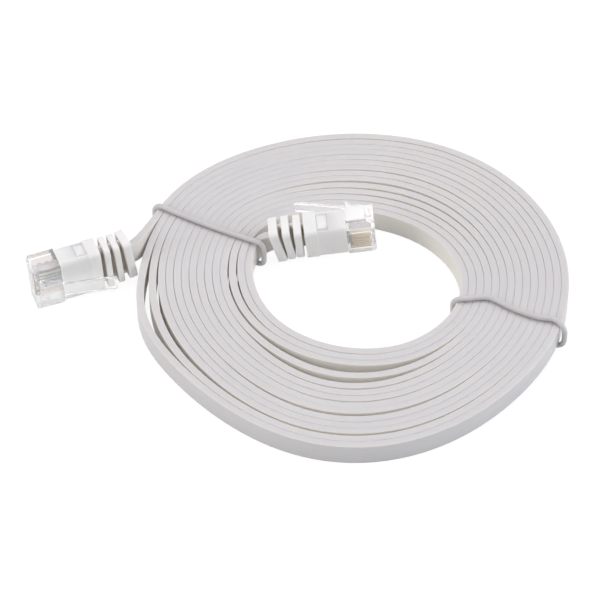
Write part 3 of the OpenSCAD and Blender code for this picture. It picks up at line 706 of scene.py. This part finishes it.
def boot_rings(p, extra):
    """Rings from the collar's front edge back over the ribs, each `extra` mm thicker to the
    front and two thirds of that to the rear, then forward through the bore. With them come a
    mask of the shade painted in the grooves and the bore, and one of the windows."""
    m = plug_frame(p)
    collar = np.eye(4)
    rings, painted_shade = [], []

    def add(frame_4, stations, strength=0.0):
        """A ring at each station (x, reach), with painted shade that thins out to a fifth of its
        strength from 3.4 to 4.6 mm beside the middle."""
        for x, reach in stations:
            local = np.stack([np.full(len(rays), x), rays[:, 0] * reach, rays[:, 1] * reach], -1)
            rings.append((local, frame_4))
            painted_shade.append(strength * (1 - 0.8 * ease((np.abs(local[:, 1]) - 3.4) / 1.2)))

    w, h = COLLAR_W / 2, COLLAR_H / 2
    add(collar, softened(BOOT_X, WINDOW_X - CRISP, w, h, BOOT_ROUND, soft=0.15, rear=False))
    add(collar, [(x, block_reach(w, h, BOOT_ROUND)) for x in
                 (WINDOW_X, WINDOW_X + 0.9, WINDOW_X + 1.8, WINDOW_X + WINDOW_LEN - CRISP)])
    rear = extra * 2 / 3
    add(collar, softened(BAND_X, BAND_END + rear, w + BAND_H, h + BAND_H, BOOT_ROUND, soft=0.14))
    core = block_reach(CORE_W / 2, CORE_H / 2, CORE_H / 2 - 0.05)
    for k in (1, 2, 3):
        tail = tail_frame(p, k - 1)
        rib_w, rib_h = (COLLAR_W - TAPER * k) / 2, (COLLAR_H - TAPER * k) / 2
        low = np.maximum(core, web_reach(rib_w - WEB_INSET))
        front = GROOVE_W - extra
        add(tail, [(rear, low * GROOVE_FLARE), (rear + GROOVE_FLARE_LEN, low),
                   (front - GROOVE_FLARE_LEN, low), (front, low * GROOVE_FLARE)], strength=1.0)
        rib_end = GROOVE_W + (RIM_LEN if k == 3 else RIB_T + rear)
        add(tail, softened(front, rib_end, rib_w, rib_h, BOOT_ROUND))
    outside = len(rings)
    bore = block_reach(CABLE_W / 2 + FIT, CABLE_T / 2 + FIT, 0.25)
    add(tail_frame(p, 2), [(TAIL_END, bore * MOUTH_FLARE), (TAIL_END - MOUTH_FLARE_LEN, bore)],
        strength=0.6)
    for k in (2, 1, 0):
        add(tail_frame(p, k), [(0.1, bore)], strength=1.0)
    inner = block_reach(INNER_W / 2, INNER_H / 2, 0.2)
    add(collar, [(PLUG_LEN + FIT, bore), (PLUG_LEN + FIT, inner),
                 (BOOT_X + 0.1, inner), (BOOT_X, inner)], strength=0.3)
    local = np.stack([r for r, _ in rings])
    frames = np.stack([f for _, f in rings])
    # The windows: within their length the wall's outside is pared down to the plug body.
    x, y, z = local[..., 0], local[..., 1], local[..., 2]
    on_collar = np.array([f is collar for _, f in rings])[:, None]
    outer = np.arange(len(rings))[:, None] < outside
    limit = np.where(z > LOW_EDGE, PARED, PARED_LOW)
    cut = (on_collar & outer & (x > WINDOW_X - CRISP / 2) & (x < BAND_X - CRISP / 2)
           & (z < WINDOW_TOP + 0.01) & (np.abs(y) > limit))
    local[..., 1] = np.where(cut, np.sign(y) * limit, y)
    four = np.concatenate([local, np.ones(local.shape[:2] + (1,))], -1)
    world = np.einsum("ij,rjk,rpk->rpi", m, frames, four)[..., :3] + RING_CENTRE
    return world, np.stack(painted_shade), (cut & (z > LUG_FOOT)).astype(float)


boot_plastic = plastic("boot_plastic", (0.89, 0.882, 0.873), (0.85, 0.842, 0.833),
                       rough=0.42, uneven=0.1, cloud_size=120, grain_size=1600, grain_depth=0.01,
                       Subsurface_Weight=0.3, Subsurface_Radius=(1.0, 0.95, 0.88),
                       Subsurface_Scale=0.0012)
tree = boot_plastic.node_tree
shader, skin_node = tree.nodes["Principled BSDF"], tree.nodes["skin"]
# Painted shade: the groove floors and the bore are painted a darker brown, as the shade in them.
painted_groove_shade = colour_mix(tree, "MULTIPLY", B=(0.50, 0.45, 0.36, 1))
# Painted shade: the wall pared down under each clear lug is painted grey, as shade under the lug;
# below LUG_FOOT it is left unpainted.
painted_lug_shade = colour_mix(tree, "MULTIPLY", B=(0.67, 0.67, 0.68, 1))
linked(tree,
       (mask_of(tree, "groove"), painted_groove_shade.inputs["Factor"]),
       (skin_node.outputs["Color"], painted_groove_shade.inputs["A"]),
       (mask_of(tree, "window"), painted_lug_shade.inputs["Factor"]),
       (painted_groove_shade.outputs["Result"], painted_lug_shade.inputs["A"]),
       (painted_lug_shade.outputs["Result"], shader.inputs["Base Color"]))
for letter in "ab":
    rings, groove, window = boot_rings(PLUG_PLACES[letter], RIB_EXTRA[letter])
    boot = ring_mesh("strain_relief_boot_" + letter, rings, closed=True,
                     masks={"groove": groove, "window": window})
    boot.data.materials.append(boot_plastic)
    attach(boot, "cable")
    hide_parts("boot_" + letter)
    if letter == "b":
        on_plug_b.append(boot)

# ==== Blades and conductors =============================================================
# Eight blades of phosphor bronze stand in the slots of each plug. Crimping presses them
# through the coloured insulation of the cable's eight conductors.

# Height in the plug at which the plating ends, and the length over which it fades.
PLATED_TO = {"a": -2.6, "b": -2.1}
PLATING_FADES = 0.4
# Colour above the plating: bare nickel on plug a, and nearly black on plug b, as painted shade.
NICKEL_AND_SHADE = {"a": (0.52, 0.47, 0.46, 1), "b": (0.17, 0.145, 0.14, 1)}


def plug_coords(material, letter):
    """Adds coordinates in the plug's own frame, in metres: X from the nose, Z to the latch."""
    m = plug_frame(PLUG_PLACES[letter])
    m[:3, 3] += RING_CENTRE
    tree = material.node_tree
    coords, place = tree.nodes.new("ShaderNodeTexCoord"), tree.nodes.new("ShaderNodeMapping")
    place.vector_type = "TEXTURE"
    place.inputs["Location"].default_value = (m[:3, 3] * MM).tolist()
    place.inputs["Rotation"].default_value = Matrix(m[:3, :3].tolist()).to_euler()
    tree.links.new(coords.outputs["Object"], place.inputs["Vector"])
    return place.outputs["Vector"]


# The conductors are painted paler than their real insulation, as painted haze of the light that the
# clear plastic scatters over them.
WIRES = [("wire_white_orange", (0.86, 0.76, 0.68)), ("wire_orange", (0.84, 0.58, 0.44)),
         ("wire_white_green", (0.76, 0.82, 0.74)), ("wire_blue", (0.46, 0.50, 0.68)),
         ("wire_white_blue", (0.74, 0.77, 0.84)), ("wire_green", (0.53, 0.65, 0.56)),
         ("wire_white_brown", (0.80, 0.73, 0.68)), ("wire_brown", (0.15, 0.10, 0.09))]
wire_skins = [plastic(name, colour, tuple(0.88 * c for c in colour),
                      rough=0.35, uneven=0.1, cloud_size=300, grain_size=3000, grain_depth=0.004)
              for name, colour in WIRES]
for letter in "ab":
    # The blades are plated with gold where they meet the socket, and bare nickel above it. Above
    # the gold, plug b's blades are painted nearly black, as painted shade between the blades.
    blade = plastic("contact_gold_" + letter, (0.86, 0.70, 0.46), (0.76, 0.59, 0.36),
                    rough=0.36, uneven=0.12, cloud_size=500, grain_size=5000, grain_depth=0.003,
                    Metallic=1.0)
    tree = blade.node_tree
    shader, skin_node = tree.nodes["Principled BSDF"], tree.nodes["skin"]
    split = tree.nodes.new("ShaderNodeSeparateXYZ")
    plated = tree.nodes.new("ShaderNodeMapRange")
    plated.inputs["From Min"].default_value = (PLATED_TO[letter] - PLATING_FADES) * MM
    plated.inputs["From Max"].default_value = PLATED_TO[letter] * MM
    nickel_and_shade = colour_mix(tree, B=NICKEL_AND_SHADE[letter])
    linked(tree,
           (plug_coords(blade, letter), split.inputs[0]),
           (split.outputs["Z"], plated.inputs["Value"]),
           (plated.outputs["Result"], nickel_and_shade.inputs["Factor"]),
           (skin_node.outputs["Color"], nickel_and_shade.inputs["A"]),
           (nickel_and_shade.outputs["Result"], shader.inputs["Base Color"]))
    finishes = [(f"contact_{letter}_{i}", blade) for i in range(1, 9)]
    finishes += [(f"conductor_{letter}_{i}", wire_skins[i - 1]) for i in range(1, 9)]
    for node, finish in finishes:
        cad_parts[node].data.materials.clear()
        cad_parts[node].data.materials.append(finish)

# ==== Plug bodies and latches ===========================================================
# Modular plugs of clear polycarbonate, moulded in one shot and crimped on the cable. The
# latch bends about its root on the nose.


def eased_copy(node, name, width):
    """A copy of a CAD node, its doubles merged and its flat faces joined, whose edges of over
    35 degrees are rounded by `width` mm."""
    shell = bmesh.new()
    shell.from_mesh(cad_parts[node].data)
    bmesh.ops.remove_doubles(shell, verts=shell.verts, dist=2e-6)
    bmesh.ops.dissolve_limit(shell, angle_limit=0.02, verts=shell.verts, edges=shell.edges)
    bmesh.ops.recalc_face_normals(shell, faces=shell.faces)
    mesh = bpy.data.meshes.new(name)
    shell.to_mesh(mesh)
    shell.free()
    piece = bpy.data.objects.new(name, mesh)
    scene.collection.objects.link(piece)
    soft = piece.modifiers.new("eased_edges", "BEVEL")
    soft.width, soft.segments, soft.limit_method = width * MM, 2, "ANGLE"
    soft.angle_limit = math.radians(35)
    return piece


clear_plastic = plastic("clear_plastic", (1.0, 0.998, 1.0), (0.985, 0.98, 0.985),
                        rough=0.06, uneven=0.05, cloud_size=200, grain_size=1500,
                        grain_depth=0.001, Transmission_Weight=0.8, IOR=1.3)
# Light falls through the clear plastic, so its shadow is pale and what it holds is lit.
LET_THROUGH = 0.96
tree = clear_plastic.node_tree
way, let_by = tree.nodes.new("ShaderNodeLightPath"), tree.nodes.new("ShaderNodeMath")
let_by.operation = "MULTIPLY_ADD"
let_by.inputs[1].default_value = -LET_THROUGH
let_by.inputs[2].default_value = 1
linked(tree,
       (way.outputs["Is Shadow Ray"], let_by.inputs[0]),
       (let_by.outputs[0], tree.nodes["Principled BSDF"].inputs["Alpha"]))
for letter in "ab":
    for kind, shape, body, width in (("plug_housing", "plug_body", "cable", 0.13),
                                     ("latch", "plug_latch", "latch_" + letter, 0.12)):
        piece = eased_copy(f"{kind}_{letter}", f"{shape}_{letter}", width)
        piece.data.materials.append(clear_plastic)
        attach(piece, body)
        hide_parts(f"{kind}_{letter}")
        if letter == "b":
            on_plug_b.append(piece)
